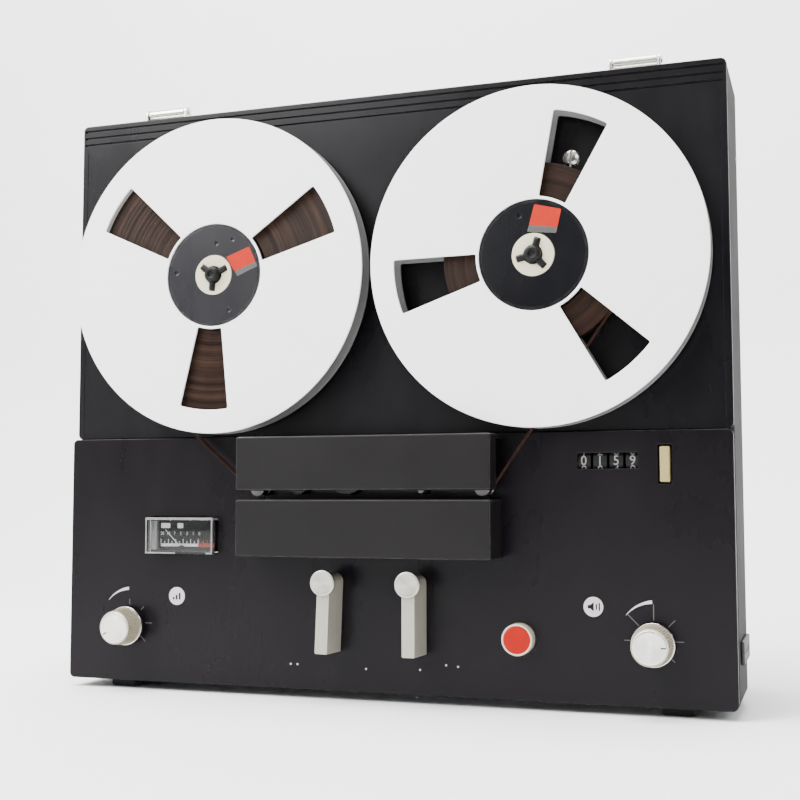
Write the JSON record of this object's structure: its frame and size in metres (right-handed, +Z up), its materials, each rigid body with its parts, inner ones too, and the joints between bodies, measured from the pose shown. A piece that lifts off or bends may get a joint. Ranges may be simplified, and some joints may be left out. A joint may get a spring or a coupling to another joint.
{
  "type": "reel to reel tape deck",
  "caption": "Upright tape deck with open silver reels, head covers with a threading slot, transport levers, level meter, tape counter, knobs and a record button.",
  "frame": {"origin": "on the floor, under the middle of the deck's outer box", "axes": "+X to the deck's right as seen from the front, +Y towards the rear, +Z up"},
  "size_m": [0.3812, 0.15, 0.3436],
  "materials": {
    "black_plastic": "fine matt grain, slightly worn",
    "cover_plastic": "fine matt grain",
    "grey_shell": "warm grey, fine grain",
    "rubber": "matt",
    "steel": "plain zinc-plated sheet",
    "bright_metal": "bright nickel",
    "champagne_metal": "champagne satin",
    "silver_flange": "metallised silver",
    "dark_hub": "satin",
    "tape": "brown oxide",
    "cream_plastic": "satin",
    "red_plastic": "gloss",
    "clear_plastic": "clear, slightly scuffed",
    "circuit_board": "phenolic board",
    "brass": "turned"
  },
  "bodies": {
    "cabinet": {"amplifier_board": "circuit_board", "cabinet_frame": "grey_shell", "capstan_bearing": "brass", "chassis_plate": "steel", "control_panel": "black_plastic", "counter_frame": "steel", "deck_plate": "black_plastic", "drive_belt": "rubber", "erase_head": "steel", "head_base": "steel", "head_cover_lower": "cover_plastic", "head_cover_upper": "cover_plastic", "left_foot": "rubber", "left_hinge": "bright_metal", "left_lid_latch": "rubber", "left_potentiometer": "steel", "meter_body": "black_plastic", "meter_window": "clear_plastic", "motor": "steel", "power_inlet": "black_plastic", "rear_housing": "grey_shell", "record_play_head": "bright_metal", "record_switch": "black_plastic", "right_foot": "rubber", "right_hinge": "bright_metal", "right_lid_latch": "rubber", "right_potentiometer": "steel", "socket_plate": "black_plastic", "tape_guide_left": "bright_metal", "tape_guide_right": "bright_metal", "tape_run": "tape", "transformer": "steel"},
    "left_reel": {"left_front_flange": "silver_flange", "left_rear_flange": "silver_flange", "left_hub": "dark_hub", "left_tape_pack": "tape", "left_spindle": "black_plastic"},
    "left_lever_body": {"left_lever": "champagne_metal", "left_lever_cap": "bright_metal"},
    "left_knob_body": {"left_knob": "bright_metal"},
    "right_reel": {"right_front_flange": "silver_flange", "right_rear_flange": "silver_flange", "right_hub": "dark_hub", "right_tape_pack": "tape", "right_spindle": "black_plastic"},
    "right_lever_body": {"right_lever": "champagne_metal", "right_lever_cap": "bright_metal"},
    "right_knob_body": {"right_knob": "bright_metal"},
    "capstan": {"capstan_shaft": "bright_metal", "flywheel": "steel"},
    "motor_rotor": {"motor_pulley": "brass"},
    "pinch_arm_body": {"pinch_arm": "steel"},
    "pinch_roller_body": {"pinch_roller": "rubber"},
    "record_button_body": {"record_button": "red_plastic"},
    "reset_key_body": {"counter_reset_key": "cream_plastic"},
    "needle": {"meter_needle": "red_plastic"},
    "wheel_thousands": {"counter_wheel_thousands": "black_plastic"},
    "wheel_hundreds": {"counter_wheel_hundreds": "black_plastic"},
    "wheel_tens": {"counter_wheel_tens": "black_plastic"},
    "wheel_units": {"counter_wheel_units": "black_plastic"}
  },
  "joints": [
    {"name": "left_reel_spin", "type": "hinge", "parent": "cabinet", "child": "left_reel", "pos_m": [-0.0915, -0.057, 0.2336], "axis": [0, -1, 0], "continuous": true},
    {"name": "right_reel_spin", "type": "hinge", "parent": "cabinet", "child": "right_reel", "pos_m": [0.0915, -0.057, 0.2336], "axis": [0, -1, 0], "continuous": true},
    {"name": "capstan_spin", "type": "hinge", "parent": "cabinet", "child": "capstan", "pos_m": [0.03, -0.03, 0.11285], "axis": [0, -1, 0], "continuous": true},
    {"name": "motor_spin", "type": "hinge", "parent": "cabinet", "child": "motor_rotor", "pos_m": [-0.045, -0.01, 0.07], "axis": [0, -1, 0], "continuous": true},
    {"name": "left_lever_turn", "type": "hinge", "parent": "cabinet", "child": "left_lever_body", "pos_m": [-0.022, -0.06, 0.064], "axis": [0, -1, 0], "range_deg": [-24, 24]},
    {"name": "right_lever_turn", "type": "hinge", "parent": "cabinet", "child": "right_lever_body", "pos_m": [0.0252, -0.06, 0.064], "axis": [0, -1, 0], "range_deg": [0, 26]},
    {"name": "pinch_arm_swing", "type": "hinge", "parent": "cabinet", "child": "pinch_arm_body", "pos_m": [0.052, -0.052, 0.088], "axis": [0, -1, 0], "range_deg": [-5, 0]},
    {"name": "pinch_roller_spin", "type": "hinge", "parent": "pinch_arm_body", "child": "pinch_roller_body", "pos_m": [0.03, -0.0575, 0.1], "axis": [0, -1, 0], "continuous": true},
    {"name": "left_knob_turn", "type": "hinge", "parent": "cabinet", "child": "left_knob_body", "pos_m": [-0.1493, -0.06, 0.0362], "axis": [0, 1, 0], "range_deg": [-150, 150]},
    {"name": "right_knob_turn", "type": "hinge", "parent": "cabinet", "child": "right_knob_body", "pos_m": [0.1483, -0.06, 0.0362], "axis": [0, 1, 0], "range_deg": [-240, 60]},
    {"name": "record_button_press", "type": "slide", "parent": "cabinet", "child": "record_button_body", "axis": [0, 1, 0], "range_m": [0, 0.003], "stiffness_N_per_m": 200, "springref_m": -0.002},
    {"name": "reset_key_press", "type": "slide", "parent": "cabinet", "child": "reset_key_body", "axis": [0, 1, 0], "range_m": [0, 0.0025], "stiffness_N_per_m": 150, "springref_m": -0.002},
    {"name": "needle_turn", "type": "hinge", "parent": "cabinet", "child": "needle", "pos_m": [-0.11495, -0.053, 0.0806], "axis": [0, 1, 0], "range_deg": [0, 90], "stiffness_Nm_per_rad": 0.00002, "springref_deg": -5.73},
    {"name": "wheel_thousands_turn", "type": "hinge", "parent": "cabinet", "child": "wheel_thousands", "pos_m": [0.1139, -0.0414, 0.1276], "axis": [1, 0, 0], "continuous": true},
    {"name": "wheel_hundreds_turn", "type": "hinge", "parent": "cabinet", "child": "wheel_hundreds", "pos_m": [0.1222, -0.0414, 0.1276], "axis": [1, 0, 0], "continuous": true},
    {"name": "wheel_tens_turn", "type": "hinge", "parent": "cabinet", "child": "wheel_tens", "pos_m": [0.1305, -0.0414, 0.1276], "axis": [1, 0, 0], "continuous": true},
    {"name": "wheel_units_turn", "type": "hinge", "parent": "cabinet", "child": "wheel_units", "pos_m": [0.1388, -0.0414, 0.1276], "axis": [1, 0, 0], "continuous": true}
  ],
  "couplings": [
    {"joint": "motor_spin", "follows": "capstan_spin", "ratio": 5.2466},
    {"joint": "pinch_arm_swing", "follows": "right_lever_turn", "ratio": -0.1923},
    {"joint": "wheel_units_turn", "follows": "right_reel_spin", "ratio": 0.1},
    {"joint": "wheel_tens_turn", "follows": "right_reel_spin", "ratio": 0.01},
    {"joint": "wheel_hundreds_turn", "follows": "right_reel_spin", "ratio": 0.001},
    {"joint": "wheel_thousands_turn", "follows": "right_reel_spin", "ratio": 0.0001}
  ]
}
